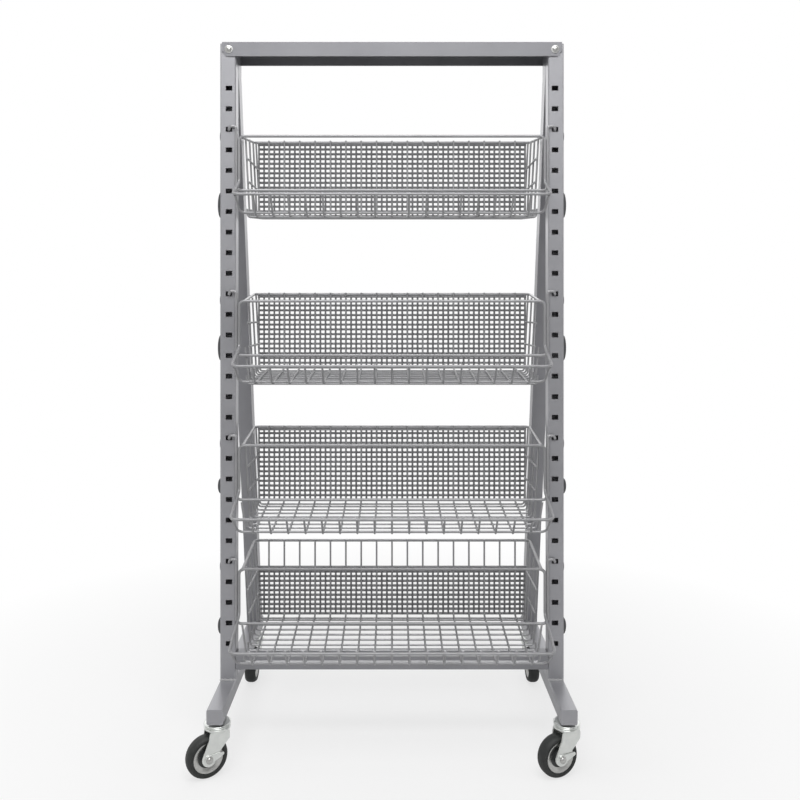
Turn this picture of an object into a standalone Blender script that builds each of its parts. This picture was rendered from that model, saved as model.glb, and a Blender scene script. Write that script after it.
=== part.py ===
"""Wheeled display rack: an A-frame of slotted square tube with four wire baskets and four casters.

Metres, +Z up, the rack's front faces -Y, the floor is z = 0.
"""
import math

import bmesh
import bpy
from mathutils import Vector

for old in list(bpy.data.objects):
    bpy.data.objects.remove(old, do_unlink=True)

# Placing of the whole rack, so that its bounding box is centred on the origin
FRONT_Y = -0.10468
CENTRE_X = 0.01413

# Steel tube frame
RACK_WIDTH = 0.660
RACK_HEIGHT = 1.350
TUBE = 0.030
TUBE_WALL = 0.0015
TUBE_CORNER = 0.002
GAP = 0.0003
WELD_GAP = 0.0005
FOOT_HEIGHT = 0.027
FOOT_BOTTOM = 0.098
FOOT_AHEAD = 0.119
FOOT_BEHIND = 0.343
LEG_KNEE_Z = 1.297
LEG_SPREAD = 0.267
BAR_BOTTOM_Z = 0.145

# Slots in the front wall of each upright
SLOT_WIDTH = 0.0125
SLOT_HEIGHT = 0.0095
SLOT_PITCH = 0.0395
SLOT_FIRST_Z = 1.262
SLOT_COUNT = 28
SLOT_X = 0.313

# Folded cap on top
CAP_WIDTH = 0.652
CAP_FLANGE = 0.027
CAP_SHEET = 0.002
CAP_CORNER = 0.008

# Wire baskets: the slot each one hangs in, and how far its rim stands ahead of the uprights
HOOK_SLOTS = (2, 10, 17, 23)
BASKET_REACHES = (0.070, 0.078, 0.092, 0.106)
BASKET_HALF_WIDTH = 0.293
BASKET_DROP = 0.014
BASKET_HEIGHT = 0.155
BASKET_DEPTH = 0.139
HANGER_HEIGHT = 0.104
FRAME_WIRE = 0.00275
WIRE = 0.0032
WIRE_PITCH = 0.032
LIP = 0.035
LIP_INSET = 0.002
FLOOR_RISE = 0.016
BACK_RISE = 0.012
SHOULDER = 0.067
MESH_SHEET = 0.0012
LOW_MESH_HEIGHT = 0.100
RIM_CORNER = 0.010

# Casters
WHEEL_RADIUS = 0.0375
WHEEL_WIDTH = 0.024
TRAIL = 0.020
RACE_RADIUS = 0.0245
RACE_HEIGHT = 0.0085
STEM_RADIUS = 0.005
STEM_LENGTH = 0.014
AXLE_RADIUS = 0.004
FORK_SHEET = 0.0025
FRONT_CASTER_AHEAD = 0.097
REAR_CASTER_BEHIND = 0.300
FRONT_LEFT_TURN = 210
FRONT_RIGHT_TURN = 202
REAR_TURN = 270

POWDER_GREY = (0.40, 0.40, 0.42)
WIRE_GREY = (0.42, 0.42, 0.43)
ZINC = (0.69, 0.71, 0.69)
WHEEL_BLACK = (0.023, 0.025, 0.025)

rack = bpy.data.collections.new("display_rack")
bpy.context.scene.collection.children.link(rack)
cutters = bpy.data.collections.new("cutters")
bpy.context.scene.collection.children.link(cutters)


def finish(obj, colour, roughness, metallic):
    """Give the object its own material and put it in the rack's collection."""
    for home in list(obj.users_collection):
        home.objects.unlink(obj)
    rack.objects.link(obj)
    material = bpy.data.materials.new(obj.name + "_finish")
    material.use_nodes = True
    shader = material.node_tree.nodes["Principled BSDF"]
    shader.inputs["Base Color"].default_value = (*colour, 1.0)
    shader.inputs["Roughness"].default_value = roughness
    shader.inputs["Metallic"].default_value = metallic
    obj.data.materials.clear()
    obj.data.materials.append(material)
    return obj


def painted(obj):
    return finish(obj, POWDER_GREY, 0.42, 0.6)


def wired(obj):
    return finish(obj, WIRE_GREY, 0.32, 0.7)


def plated(obj):
    return finish(obj, ZINC, 0.25, 1.0)


def helper(obj):
    """Keep a cutting or adding shape out of the render."""
    for home in list(obj.users_collection):
        home.objects.unlink(obj)
    cutters.objects.link(obj)
    obj.hide_render = True
    obj.display_type = "WIRE"
    return obj


def combine(obj, other, operation):
    """Cut the other shape from the object, or join it on."""
    modifier = obj.modifiers.new(operation.lower() + "_" + other.name, "BOOLEAN")
    modifier.operation = operation
    modifier.solver = "EXACT"
    modifier.object = helper(other)


def mesh_object(name, bm):
    bmesh.ops.recalc_face_normals(bm, faces=bm.faces)
    mesh = bpy.data.meshes.new(name)
    bm.to_mesh(mesh)
    bm.free()
    obj = bpy.data.objects.new(name, mesh)
    bpy.context.scene.collection.objects.link(obj)
    return obj


def box(name, low, high, corner=0.0, along=2):
    """A box between two corners, with the edges along one axis bevelled."""
    low = Vector(low)
    high = Vector(high)
    size = high - low
    bm = bmesh.new()
    bmesh.ops.create_cube(bm, size=1.0)
    bmesh.ops.scale(bm, vec=size, verts=bm.verts)
    if corner:
        edges = []
        for edge in bm.edges:
            run = edge.verts[1].co - edge.verts[0].co
            if abs(run[along]) > 0.5 * size[along]:
                edges.append(edge)
        bmesh.ops.bevel(bm, geom=edges, offset=corner, segments=1, affect="EDGES")
    obj = mesh_object(name, bm)
    obj.location = (low + high) / 2
    return obj


def rounded(points, radius, steps, closed=False):
    """The path through these points with each corner turned on an arc."""
    points = [Vector(p) for p in points]
    count = len(points)
    path = []
    for i, corner in enumerate(points):
        if not closed and i in (0, count - 1):
            path.append(corner)
            continue
        before = (points[i - 1] - corner).normalized()
        after = (points[(i + 1) % count] - corner).normalized()
        turn = math.pi - before.angle(after)
        if turn < 0.2:
            path.append(corner)
            continue
        cut = radius * math.tan(turn / 2)
        centre = corner + (before + after).normalized() * (radius / math.cos(turn / 2))
        start = corner + before * cut - centre
        end = corner + after * cut - centre
        for k in range(steps + 1):
            path.append(centre + radius * start.normalized().slerp(end.normalized(), k / steps))
    return path


def wire(name, path, radius, closed=False):
    """A round wire along a path."""
    curve = bpy.data.curves.new(name, "CURVE")
    curve.dimensions = "3D"
    curve.bevel_depth = radius
    curve.bevel_resolution = 1
    curve.use_fill_caps = True
    spline = curve.splines.new("POLY")
    spline.points.add(len(path) - 1)
    for point, place in zip(spline.points, path):
        point.co = (*place, 1.0)
    spline.use_cyclic_u = closed
    obj = bpy.data.objects.new(name, curve)
    bpy.context.scene.collection.objects.link(obj)
    return obj


def add_loop(curve, corners):
    spline = curve.splines.new("POLY")
    spline.points.add(len(corners) - 1)
    for point, corner in zip(spline.points, corners):
        point.co = (corner[0], corner[1], 0.0, 1.0)
    spline.use_cyclic_u = True


def outline(name, loops, thickness):
    """A flat plate from an outer outline and its holes."""
    curve = bpy.data.curves.new(name, "CURVE")
    curve.dimensions = "2D"
    curve.fill_mode = "BOTH"
    curve.extrude = thickness / 2
    for loop in loops:
        add_loop(curve, loop)
    obj = bpy.data.objects.new(name, curve)
    bpy.context.scene.collection.objects.link(obj)
    return obj


def to_mesh(obj):
    """Swap a curve for its mesh, with its caps sewn on."""
    bpy.context.view_layer.update()
    graph = bpy.context.evaluated_depsgraph_get()
    mesh = bpy.data.meshes.new_from_object(obj.evaluated_get(graph))
    mesh.transform(obj.matrix_world)
    bm = bmesh.new()
    bm.from_mesh(mesh)
    bmesh.ops.remove_doubles(bm, verts=bm.verts, dist=0.000005)
    name = obj.name
    bpy.data.objects.remove(obj, do_unlink=True)
    return mesh_object(name, bm)


def place(obj, spot, turn=(0, 0, 0)):
    obj.location = spot
    obj.rotation_euler = [math.radians(a) for a in turn]
    return obj


def lattice(name, columns, rows, bottom, top, bar, thickness):
    """A flat grid of bars: columns are places across, rows are shares of the height."""
    half = bar / 2
    first = columns[0]
    span = columns[-1] - first

    def height(x, share):
        along = (x - first) / span
        low = bottom[0] + (bottom[1] - bottom[0]) * along
        high = top[0] + (top[1] - top[0]) * along
        return low + (high - low) * share

    def window(left, right, low, high, grow):
        corners = []
        for x, share, side in ((left, low, 1), (right, low, 1), (right, high, -1), (left, high, -1)):
            corners.append((x, height(x, share) + side * grow))
        return corners

    loops = [window(first - half, columns[-1] + half, rows[0], rows[-1], -half)]
    for left, right in zip(columns, columns[1:]):
        for low, high in zip(rows, rows[1:]):
            loops.append(window(left + half, right - half, low, high, half))
    return outline(name, loops, thickness)


def turned(name, profile, steps):
    """A closed profile of radius and height turned once about the vertical axis."""
    bm = bmesh.new()
    verts = [bm.verts.new((r, 0.0, z)) for r, z in profile]
    ring = profile[0][0] > 0.0
    for a, b in zip(verts, verts[1:]):
        bm.edges.new((a, b))
    if ring:
        bm.edges.new((verts[-1], verts[0]))
    mesh = bpy.data.meshes.new(name)
    bm.to_mesh(mesh)
    bm.free()
    obj = bpy.data.objects.new(name, mesh)
    bpy.context.scene.collection.objects.link(obj)
    screw = obj.modifiers.new("turn", "SCREW")
    screw.axis = "Z"
    screw.steps = steps
    screw.render_steps = steps
    screw.use_merge_vertices = True
    screw.merge_threshold = 0.00001
    screw.use_normal_calculate = True
    return to_mesh(obj)


def across(x):
    """A place across the rack, measured from the middle of its frame."""
    return CENTRE_X + x


# Slotted uprights, rear legs and feet
HALF_FRAME = RACK_WIDTH / 2
TUBE_CENTRE = HALF_FRAME - TUBE / 2
FOOT_TOP = FOOT_BOTTOM + FOOT_HEIGHT
UPRIGHT_TOP = RACK_HEIGHT - CAP_SHEET - GAP
REAR_FACE = FRONT_Y + TUBE

for side, sign in (("left", -1), ("right", 1)):
    x = across(sign * TUBE_CENTRE)
    low = (x - TUBE / 2, FRONT_Y, FOOT_TOP + GAP)
    high = (x + TUBE / 2, REAR_FACE, UPRIGHT_TOP)
    upright = box("upright_" + side, low, high, TUBE_CORNER)
    low = (x - TUBE / 2 + TUBE_WALL, FRONT_Y + TUBE_WALL, FOOT_TOP - 0.01)
    high = (x + TUBE / 2 - TUBE_WALL, REAR_FACE - TUBE_WALL, RACK_HEIGHT + 0.01)
    combine(upright, box("bore_upright_" + side, low, high), "DIFFERENCE")
    slots = bmesh.new()
    for i in range(SLOT_COUNT):
        z = SLOT_FIRST_Z - i * SLOT_PITCH
        made = bmesh.ops.create_cube(slots, size=1.0)["verts"]
        bmesh.ops.scale(slots, vec=(SLOT_WIDTH, 0.012, SLOT_HEIGHT), verts=made)
        bmesh.ops.translate(slots, vec=(across(sign * SLOT_X), FRONT_Y, z), verts=made)
    combine(upright, mesh_object("slots_" + side, slots), "DIFFERENCE")
    painted(upright)

    knee = REAR_FACE + GAP
    slope = LEG_SPREAD / (LEG_KNEE_Z - FOOT_TOP)
    reach = TUBE * math.sqrt(1 + slope * slope)
    foot_y = knee + LEG_SPREAD
    low_z = FOOT_TOP + GAP
    shape = [(knee, UPRIGHT_TOP), (knee, LEG_KNEE_Z), (foot_y, low_z)]
    shape += [(foot_y + reach, low_z), (knee + reach, LEG_KNEE_Z), (knee + reach, UPRIGHT_TOP)]
    leg = place(outline("rear_leg_" + side, [shape], TUBE), (x, 0, 0), (90, 0, 90))
    leg = to_mesh(leg)
    wall = TUBE_WALL * 1.03
    past = 0.01
    shape = [(knee + wall, UPRIGHT_TOP + past), (knee + wall, LEG_KNEE_Z)]
    shape += [(foot_y + wall + slope * past, low_z - past), (foot_y + reach - wall + slope * past, low_z - past)]
    shape += [(knee + reach - wall, LEG_KNEE_Z), (knee + reach - wall, UPRIGHT_TOP + past)]
    inner = outline("bore_rear_leg_" + side, [shape], TUBE - 2 * TUBE_WALL)
    inner = to_mesh(place(inner, (x, 0, 0), (90, 0, 90)))
    combine(leg, inner, "DIFFERENCE")
    painted(leg)

    low = (x - TUBE / 2, FRONT_Y - FOOT_AHEAD, FOOT_BOTTOM)
    high = (x + TUBE / 2, FRONT_Y + FOOT_BEHIND, FOOT_TOP)
    foot = box("foot_beam_" + side, low, high, TUBE_CORNER, 1)
    wall = Vector((TUBE_WALL, TUBE_WALL, TUBE_WALL))
    combine(foot, box("bore_foot_" + side, Vector(low) + wall, Vector(high) - wall), "DIFFERENCE")
    for end, y in (("front", FRONT_Y - FRONT_CASTER_AHEAD), ("rear", FRONT_Y + REAR_CASTER_BEHIND)):
        hole = bmesh.new()
        radius = STEM_RADIUS + 0.0005
        bmesh.ops.create_cone(
            hole, segments=16, radius1=radius, radius2=radius, depth=0.01, cap_ends=True
        )
        hole = mesh_object("stem_hole_" + end + "_" + side, hole)
        hole.location = (x, y, FOOT_BOTTOM)
        combine(foot, hole, "DIFFERENCE")
    painted(foot)

# Folded cap over the tops of the uprights
cap_front = FRONT_Y - GAP - CAP_SHEET
cap_rear = REAR_FACE + GAP + TUBE * 1.03 + GAP + CAP_SHEET
cap_low = RACK_HEIGHT - CAP_FLANGE
web = RACK_HEIGHT - CAP_SHEET
shape = [(cap_front, cap_low), (cap_front + CAP_SHEET, cap_low), (cap_front + CAP_SHEET, web)]
shape += [(cap_rear - CAP_SHEET, web), (cap_rear - CAP_SHEET, cap_low)]
shape += [(cap_rear, cap_low), (cap_rear, RACK_HEIGHT), (cap_front, RACK_HEIGHT)]
cap = outline("top_cap", [shape], CAP_WIDTH)
cap = to_mesh(place(cap, (across(0), 0, 0), (90, 0, 90)))
bm = bmesh.new()
bm.from_mesh(cap.data)
ends = []
for edge in bm.edges:
    a, b = (v.co for v in edge.verts)
    at_end = min(abs(a.x - CENTRE_X), abs(b.x - CENTRE_X)) > CAP_WIDTH / 2 - 0.001
    at_bottom = max(a.z, b.z) < cap_low + 0.001
    if at_end and at_bottom and abs(a.x - b.x) < 0.001:
        ends.append(edge)
bmesh.ops.bevel(bm, geom=ends, offset=CAP_CORNER, segments=3, affect="EDGES")
bm.to_mesh(cap.data)
bm.free()
painted(cap)

# Bar between the uprights, low down
inner_face = HALF_FRAME - TUBE - GAP
low = (across(-inner_face), FRONT_Y, BAR_BOTTOM_Z)
high = (across(inner_face), REAR_FACE, BAR_BOTTOM_Z + TUBE)
bar = box("bottom_crossbar", low, high, TUBE_CORNER, 0)
low = (across(-HALF_FRAME), FRONT_Y + TUBE_WALL, BAR_BOTTOM_Z + TUBE_WALL)
high = (across(HALF_FRAME), REAR_FACE - TUBE_WALL, BAR_BOTTOM_Z + TUBE - TUBE_WALL)
combine(bar, box("bore_crossbar", low, high), "DIFFERENCE")
painted(bar)

# Baskets
for number, (slot, reach) in enumerate(zip(HOOK_SLOTS, BASKET_REACHES), 1):
    name = "basket_" + str(number)
    slot_z = SLOT_FIRST_Z - slot * SLOT_PITCH
    top = slot_z - BASKET_DROP
    base = top - BASKET_HEIGHT
    plane = FRONT_Y - FRAME_WIRE - WELD_GAP
    half = BASKET_HALF_WIDTH

    hook_out = half + 0.0075
    path = []
    for sign in (-1, 1):
        seat = slot_z - SLOT_HEIGHT / 2 + FRAME_WIRE + GAP
        hook = [(across(sign * SLOT_X), FRONT_Y + 0.006, seat)]
        hook += [(across(sign * (SLOT_X - 0.001)), plane, seat)]
        hook += [(across(sign * (hook_out + 0.008)), plane - 0.001, slot_z + 0.0045)]
        hook += [(across(sign * (hook_out + 0.002)), plane - 0.001, slot_z + 0.0035)]
        hook += [(across(sign * hook_out), plane - 0.001, slot_z - 0.003)]
        hook += [(across(sign * half), plane, top - 0.012)]
        low_corner = (across(sign * half), plane, top - HANGER_HEIGHT)
        bend = rounded([hook[-1], low_corner, (across(0), plane, low_corner[2])], 0.012, 3)
        run = hook + bend[1:-1]
        path += run if sign < 0 else run[::-1]
    hanger = to_mesh(wire(name + "_hanger_frame", path, FRAME_WIRE))
    bridge = wire(
        name + "_top_wire",
        [(across(-half - 0.004), plane, top), (across(half + 0.004), plane, top)],
        FRAME_WIRE * 0.98,
    )
    combine(hanger, to_mesh(bridge), "UNION")
    wired(hanger)

    rail = half - 2 * FRAME_WIRE - WELD_GAP
    ahead = plane - 2 * FRAME_WIRE - WELD_GAP
    rail_z = top - 2 * FRAME_WIRE - WELD_GAP
    back_z = rail_z + BACK_RISE
    back_y = FRONT_Y + BASKET_DEPTH
    rim_y = FRONT_Y - reach
    rim_z = base + LIP
    right_half = [(rail, back_y, back_z), (rail, ahead, rail_z), (rail, ahead, base + SHOULDER)]
    right_half += [(rail, rim_y, rim_z)]
    left_half = [(-x, y, z) for x, y, z in reversed(right_half)]
    loop = [(across(x), y, z) for x, y, z in right_half + left_half]
    rim = wire(name + "_rim_loop", rounded(loop, RIM_CORNER, 2, True), FRAME_WIRE, True)
    wired(rim)

    tray_half = rail - FRAME_WIRE - WELD_GAP - WIRE / 2
    wires = [i * WIRE_PITCH for i in range(-8, 9)]
    columns = [-tray_half] + wires + [tray_half]
    front_y = rim_y + LIP
    run_y = back_y - front_y
    length = math.hypot(run_y, FLOOR_RISE)
    tilt = math.degrees(math.atan2(FLOOR_RISE, run_y))
    floor = lattice(
        name + "_floor", columns, (0, 1 / 3, 2 / 3, 1), (0, 0), (length, length), WIRE, WIRE
    )
    wired(place(floor, (across(0), front_y, base), (tilt, 0, 0)))

    side_start = FRONT_Y + WIRE
    side_end = back_y - FRAME_WIRE - 2 * WELD_GAP - 1.5 * WIRE
    for side, sign in (("left", -1), ("right", 1)):
        ys = [side_start + (side_end - side_start) * i / 4 for i in range(5)]
        lift = base + 1.1 * WIRE + WELD_GAP
        low_ends = [lift + (y - front_y) * FLOOR_RISE / run_y for y in (ys[0], ys[-1])]
        clear = FRAME_WIRE + WELD_GAP + WIRE / 2
        high_ends = [rail_z - clear, rail_z + BACK_RISE * 0.85 - clear]
        wall = lattice(name + "_side_" + side, ys, (0, 1), low_ends, high_ends, WIRE, WIRE)
        wired(place(wall, (across(sign * tray_half), 0, 0), (90, 0, 90)))

    lip_length = math.hypot(LIP, LIP) - FRAME_WIRE - 1.6 * WELD_GAP - WIRE / 2
    lip_start = 1.2 * WIRE + WELD_GAP
    lip_columns = [-tray_half + LIP_INSET] + wires + [tray_half - LIP_INSET]
    lip = lattice(
        name + "_lip",
        lip_columns,
        (0, 1),
        (lip_start, lip_start),
        (lip_length, lip_length),
        WIRE,
        WIRE,
    )
    wired(place(lip, (across(0), front_y, base), (135, 0, 0)))

    grid_y = back_y - FRAME_WIRE - WELD_GAP - WIRE / 2
    floor_back = base + FLOOR_RISE + WIRE * 1.2 + WELD_GAP
    grid_top = back_z - FRAME_WIRE - WELD_GAP - WIRE / 2
    back = lattice(
        name + "_back_grid",
        columns,
        (0, 1),
        (floor_back, floor_back),
        (grid_top, grid_top),
        WIRE,
        WIRE,
    )
    wired(place(back, (across(0), grid_y, 0), (90, 0, 0)))

    mesh_y = grid_y + WIRE / 2 + WELD_GAP
    mesh_low = floor_back - WIRE / 2
    mesh_high = back_z - FRAME_WIRE - WELD_GAP
    if number == len(HOOK_SLOTS):
        mesh_high = mesh_low + LOW_MESH_HEIGHT
    low = (across(-tray_half), mesh_y, mesh_low)
    high = (across(tray_half), mesh_y + MESH_SHEET, mesh_high)
    wired(box(name + "_fine_mesh", low, high))

# Casters
AXLE_Z = WHEEL_RADIUS
RACE_TOP = FOOT_BOTTOM - GAP
RACE_BOTTOM = RACE_TOP - RACE_HEIGHT
LEG_INSIDE = WHEEL_WIDTH / 2 + 0.002
LEG_MIDDLE = LEG_INSIDE + FORK_SHEET / 2
LEG_OUTSIDE = LEG_INSIDE + FORK_SHEET
BORE = AXLE_RADIUS + GAP
LEVER_SHEET = 0.0018


def circle(centre, radius, steps):
    points = []
    for i in range(steps):
        a = 2 * math.pi * i / steps
        points.append((centre[0] + radius * math.cos(a), centre[1] + radius * math.sin(a)))
    return points


def lever_outline():
    """The strip of the side lock: round about the axle, narrow to its far end."""
    points = []
    for i in range(9):
        a = math.radians(-130 + 260 * i / 8)
        points.append((0.009 * math.cos(a), 0.009 * math.sin(a)))
    for i in range(5):
        a = math.radians(90 + 180 * i / 4)
        points.append((-0.029 + 0.0055 * math.cos(a), 0.004 + 0.0055 * math.sin(a)))
    return points


def caster(place_name, x, y, turn, lock):
    """A swivel caster: race and stem in the foot, fork that turns, wheel on its axle."""
    swivel = bpy.data.objects.new("swivel_" + place_name, None)
    rack.objects.link(swivel)
    swivel.location = (x, y, 0)
    swivel.rotation_euler = (0, 0, math.radians(turn))

    top = RACE_TOP + STEM_LENGTH
    profile = [(0, top), (STEM_RADIUS - 0.001, top), (STEM_RADIUS, top - 0.001)]
    profile += [(STEM_RADIUS, RACE_TOP), (RACE_RADIUS - 0.0015, RACE_TOP)]
    profile += [(RACE_RADIUS, RACE_TOP - 0.0015), (RACE_RADIUS, RACE_BOTTOM + 0.001)]
    profile += [(RACE_RADIUS - 0.001, RACE_BOTTOM), (0, RACE_BOTTOM)]
    race = turned("caster_race_" + place_name, profile, 20)
    race.location = (x, y, 0)
    plated(race)

    crown = RACE_BOTTOM - GAP
    profile = [(0, crown), (RACE_RADIUS - 0.002, crown), (RACE_RADIUS - 0.001, crown - 0.001)]
    profile += [(RACE_RADIUS - 0.001, crown - 0.006), (RACE_RADIUS - 0.003, crown - 0.007)]
    profile += [(0, crown - 0.007)]
    fork = turned("caster_fork_" + place_name, profile, 20)
    fork.parent = swivel
    shape = [(TRAIL - 0.012, AXLE_Z - 0.004), (-0.0165, crown - 0.014), (-0.0165, crown - 0.003)]
    shape += [(0.0165, crown - 0.003), (0.0185, crown - 0.012), (TRAIL + 0.012, AXLE_Z + 0.010)]
    for i in range(7):
        a = math.radians(5 - 190 * i / 6)
        shape.append((TRAIL + 0.012 * math.cos(a), AXLE_Z + 0.012 * math.sin(a)))
    hole = circle((TRAIL, AXLE_Z), BORE, 12)
    for tag, sign in (("near", 1), ("far", -1)):
        leg = outline("fork_leg_" + tag + "_" + place_name, [shape[1:], hole], FORK_SHEET)
        leg = to_mesh(place(leg, (0, sign * LEG_MIDDLE, 0), (90, 0, 0)))
        leg.parent = swivel
        combine(fork, leg, "UNION")
    plated(fork)

    half = WHEEL_WIDTH / 2
    r = WHEEL_RADIUS
    profile = [(BORE, half + 0.001), (0.010, half + 0.001), (0.0115, half - 0.002)]
    profile += [(0.0255, half - 0.004), (0.0275, half), (r - 0.005, half), (r - 0.0012, half - 0.004)]
    profile += [(r, 0.004)]
    profile += [(radius, -z) for radius, z in reversed(profile)]
    wheel = turned("caster_wheel_" + place_name, profile, 28)
    wheel.parent = swivel
    place(wheel, (TRAIL, 0, AXLE_Z), (90, 0, 0))
    finish(wheel, WHEEL_BLACK, 0.55, 0.0)

    head_in = LEG_OUTSIDE + GAP
    if lock:
        head_in += LEVER_SHEET + GAP
    head_out = head_in + 0.004
    tail = LEG_OUTSIDE + GAP
    profile = [(0, head_out), (0.0055, head_out), (0.0065, head_out - 0.001), (0.0065, head_in)]
    profile += [(AXLE_RADIUS, head_in), (AXLE_RADIUS, -tail), (0.0065, -tail)]
    profile += [(0.0065, -tail - 0.003), (0.0055, -tail - 0.004), (0, -tail - 0.004)]
    axle = turned("caster_axle_" + place_name, profile, 12)
    axle.parent = swivel
    place(axle, (TRAIL, 0, AXLE_Z), (-90, 0, 0))
    plated(axle)

    if lock:
        lever = outline(
            "caster_lock_" + place_name,
            [lever_outline(), circle((0, 0), BORE, 12)],
            LEVER_SHEET,
        )
        lever.parent = swivel
        spot = (TRAIL, LEG_OUTSIDE + GAP + LEVER_SHEET / 2, AXLE_Z)
        place(lever, spot, (90, 0, 0))
        plated(lever)


front_stem = FRONT_Y - FRONT_CASTER_AHEAD
rear_stem = FRONT_Y + REAR_CASTER_BEHIND
caster("front_left", across(-TUBE_CENTRE), front_stem, FRONT_LEFT_TURN, True)
caster("front_right", across(TUBE_CENTRE), front_stem, FRONT_RIGHT_TURN, True)
caster("rear_left", across(-TUBE_CENTRE), rear_stem, REAR_TURN, False)
caster("rear_right", across(TUBE_CENTRE), rear_stem, REAR_TURN, False)
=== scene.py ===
# %% [markdown]
# # Wheeled display rack
# A shop's display rack: an A-frame of square steel tube, powder coated silver grey, with four
# baskets of welded wire hooked in the slots of the uprights, on four swivel casters. The tubes,
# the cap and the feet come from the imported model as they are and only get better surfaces. The
# baskets, wheels and forks are made again here, because round wire and smooth pressed steel need
# more faces than a plain solid has.

from types import SimpleNamespace

import bpy
import numpy as np
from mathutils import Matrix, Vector


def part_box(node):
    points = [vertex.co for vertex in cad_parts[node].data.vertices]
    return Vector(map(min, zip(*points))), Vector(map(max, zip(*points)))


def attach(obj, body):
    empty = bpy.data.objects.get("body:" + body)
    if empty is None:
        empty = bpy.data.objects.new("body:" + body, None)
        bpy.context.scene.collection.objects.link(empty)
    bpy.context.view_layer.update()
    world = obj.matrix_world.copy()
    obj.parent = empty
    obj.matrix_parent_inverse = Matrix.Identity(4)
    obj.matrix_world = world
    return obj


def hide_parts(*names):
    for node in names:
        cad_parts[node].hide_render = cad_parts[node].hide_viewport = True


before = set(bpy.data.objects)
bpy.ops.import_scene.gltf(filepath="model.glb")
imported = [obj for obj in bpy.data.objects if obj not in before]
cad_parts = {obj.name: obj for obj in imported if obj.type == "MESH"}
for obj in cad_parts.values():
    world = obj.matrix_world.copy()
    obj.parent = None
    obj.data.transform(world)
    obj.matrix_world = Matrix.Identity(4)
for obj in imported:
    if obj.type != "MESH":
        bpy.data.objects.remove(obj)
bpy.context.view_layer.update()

# %% [markdown]
# ## Sizes
# Every place is measured from the front face of the uprights and the middle of the frame, as a
# fitter would with a tape. Both are read from the model, so the new pieces sit where it says.

# %% Sizes in metres
front_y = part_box("upright_left")[0][1]
centre_x = (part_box("upright_left")[0][0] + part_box("upright_right")[1][0]) / 2
# Under and upper side of the foot beams, half the frame's width, and the square tube's side.
foot_bottom = 0.098
foot_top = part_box("foot_beam_left")[1][2]
half_frame = 0.330
tube = 0.030
# Height of the top slot, the step to the next, its distance from the middle, and its height.
slot_first, slot_pitch, slot_x, slot_tall = 1.262, 0.0395, 0.313, 0.0095
# The slots that the baskets hang in, counted from the top, and how far each rim stands out.
hook_slots = (2, 10, 17, 23)
reaches = (0.070, 0.078, 0.092, 0.106)
print("front of the uprights at", round(front_y, 5), "middle at", round(centre_x, 5))

# %% [markdown]
# ## Making surfaces
# Blender's own tools could bevel curves and lathe profiles. Here each new piece is a grid of
# points worked out with numpy, because then every point has a formula that can be read. One
# function turns a grid into a mesh, one carries a circle along paths to make wire, one turns a
# profile on an axis, and one gives an outline a thickness.


# %% A mesh from points and faces
def signed_volume(mesh):
    """Sum of p0 . (p1 x p2) / 6 over the triangles: above nought when faces point outwards."""
    mesh.calc_loop_triangles()
    corners = np.empty(len(mesh.loop_triangles) * 3, int)
    mesh.loop_triangles.foreach_get("vertices", corners)
    points = np.empty(len(mesh.vertices) * 3)
    mesh.vertices.foreach_get("co", points)
    a, b, c = np.moveaxis(points.reshape(-1, 3)[corners.reshape(-1, 3)], 1, 0)
    return (a * np.cross(b, c)).sum() / 6


def mesh_from(name, points, faces, smooth=40):
    """Points and faces to a mesh, shaded smooth except across edges sharper than this angle."""
    mesh = bpy.data.meshes.new(name)
    mesh.from_pydata(np.asarray(points).tolist(), [], [list(f) for f in faces])
    mesh.update()
    if signed_volume(mesh) < 0:
        mesh.flip_normals()
    mesh.shade_smooth()
    mesh.set_sharp_from_angle(angle=np.radians(smooth))
    return mesh


def grid_faces(rows, columns, wrap_rows, wrap_columns, start=0):
    """Quads between neighbours of a grid numbered row by row, wrapping round where asked."""
    i = np.arange(rows if wrap_rows else rows - 1)
    j = np.arange(columns if wrap_columns else columns - 1)
    i, j = np.meshgrid(i, j, indexing="ij")
    i2, j2 = (i + 1) % rows, (j + 1) % columns
    quads = np.stack([i * columns + j, i * columns + j2, i2 * columns + j2, i2 * columns + j], -1)
    return quads.reshape(-1, 4) + start


# %% Wire along paths
def directions(path, closed):
    """Unit tangents: each is the direction from the point before to the point after."""
    if closed:
        run = np.roll(path, -1, 0) - np.roll(path, 1, 0)
    else:
        run = np.gradient(path, axis=0)
    return run / np.linalg.norm(run, axis=1, keepdims=True)


def carried_frame(tangents, closed):
    """A side vector for each point, carried along the path so that it turns as little as it can."""
    side = np.cross(tangents[0], (0.31, 0.85, 0.43))
    sides = []
    for tangent in tangents:
        side = side - tangent * side.dot(tangent)
        side = side / np.linalg.norm(side)
        sides.append(side)
    sides = np.array(sides)
    if closed:
        first, last = sides[0], sides[-1]
        other = np.cross(tangents[-1], last)
        twist = np.arctan2(first.dot(other), first.dot(last))
        turn = twist * np.arange(len(sides))[:, None] / len(sides)
        sides = sides * np.cos(turn) + np.cross(tangents, sides) * np.sin(turn)
    return sides


def wire_mesh(name, paths, radius, around=10, closed=False):
    """Round wire: point(i, a) = path(i) + radius * (side(i) * cos(a) + up(i) * sin(a))."""
    a = np.arange(around) * 2 * np.pi / around
    points, faces, start = [], [], 0
    for path in paths:
        path = np.asarray(path, float)
        tangents = directions(path, closed)
        sides = carried_frame(tangents, closed)
        ups = np.cross(tangents, sides)
        ring = np.cos(a)[None, :, None] * sides[:, None] + np.sin(a)[None, :, None] * ups[:, None]
        points.append((path[:, None] + radius * ring).reshape(-1, 3))
        faces += grid_faces(len(path), around, closed, True, start).tolist()
        if not closed:
            last = start + (len(path) - 1) * around
            faces.append(list(range(start, start + around))[::-1])
            faces.append(list(range(last, last + around)))
        start += len(path) * around
    return mesh_from(name, np.concatenate(points), faces)


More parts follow.
